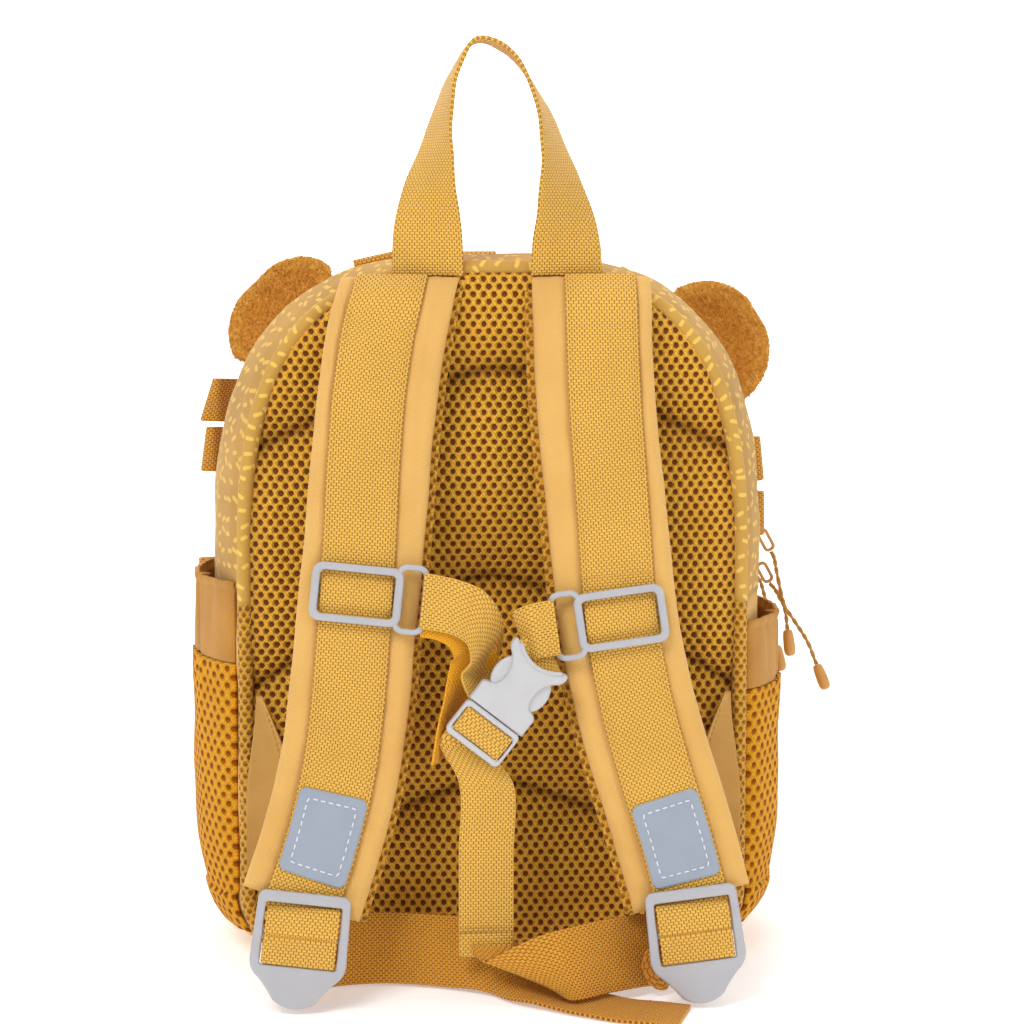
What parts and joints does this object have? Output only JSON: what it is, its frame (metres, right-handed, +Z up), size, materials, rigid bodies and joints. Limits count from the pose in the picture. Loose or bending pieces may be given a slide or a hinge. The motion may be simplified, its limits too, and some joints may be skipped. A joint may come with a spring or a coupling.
{
  "type": "kids animal backpack",
  "caption": "Small ochre children's backpack standing upright, with plush ears, webbing mane loops, padded mesh back, padded straps, buckled chest strap and mesh side pockets.",
  "frame": {"origin": "centre of the flat base at floor level", "axes": "+Z up, -Y towards the side with the shoulder straps, +X to the right when that side is looked at"},
  "size_m": [0.281, 0.2318, 0.3831],
  "materials": {
    "air_mesh": "padded 3-D mesh with small round holes",
    "plain_cloth": "plain woven cloth",
    "printed_cloth": null,
    "webbing": "ribbed polyester webbing",
    "zip_tape": "closed coil zip on its tape",
    "plush": "short plush pile",
    "plush_lining": "short plush pile, darker",
    "grey_plastic": "satin moulded plastic",
    "zip_plastic": "satin moulded plastic",
    "zip_cord": "twisted round cord",
    "reflective": "matt reflective film"
  },
  "bodies": {
    "root": {"gusset_print": "printed_cloth", "zip_band": "zip_tape", "gusset_front": "printed_cloth", "gusset_plain": "plain_cloth", "back_panel": "air_mesh", "rim": "printed_cloth", "front_panel": "plain_cloth", "strap_left": "plain_cloth", "strap_mesh_left": "air_mesh", "strap_webbing_left": "webbing", "reflective_patch_left": "reflective", "ladder_lock_left": "grey_plastic", "lock_webbing_left": "webbing", "lower_webbing_left": "webbing", "ear_left": "plush", "ear_lining_left": "plush_lining", "pocket_mesh_left": "air_mesh", "pocket_band_left": "plain_cloth", "wing_left": "plain_cloth", "strap_right": "plain_cloth", "strap_mesh_right": "air_mesh", "strap_webbing_right": "webbing", "reflective_patch_right": "reflective", "ladder_lock_right": "grey_plastic", "lock_webbing_right": "webbing", "lower_webbing_right": "webbing", "ear_right": "plush", "ear_lining_right": "plush_lining", "pocket_mesh_right": "air_mesh", "pocket_band_right": "plain_cloth", "wing_right": "plain_cloth", "sternum_slider_left": "grey_plastic", "sternum_slider_right": "grey_plastic", "chest_webbing_left": "webbing", "chest_tail": "webbing", "chest_webbing_right": "webbing", "buckle_ladder": "grey_plastic", "buckle_body": "grey_plastic", "handle": "webbing", "mane_top_left": "webbing", "mane_top_middle": "webbing", "mane_top_right": "webbing", "mane_left_upper": "webbing", "mane_left_lower": "webbing", "mane_right_upper": "webbing", "mane_right_lower": "webbing", "mane_left_foot": "webbing", "zip_slider_1": "zip_plastic", "zip_ring_1": "zip_plastic", "zip_cord_1": "zip_cord", "zip_grip_1": "zip_plastic", "zip_slider_2": "zip_plastic", "zip_ring_2": "zip_plastic", "zip_cord_2": "zip_cord", "zip_grip_2": "zip_plastic", "zip_slider_3": "zip_plastic", "zip_ring_3": "zip_plastic", "zip_cord_3": "zip_cord", "zip_grip_3": "zip_plastic"}
  },
  "joints": []
}
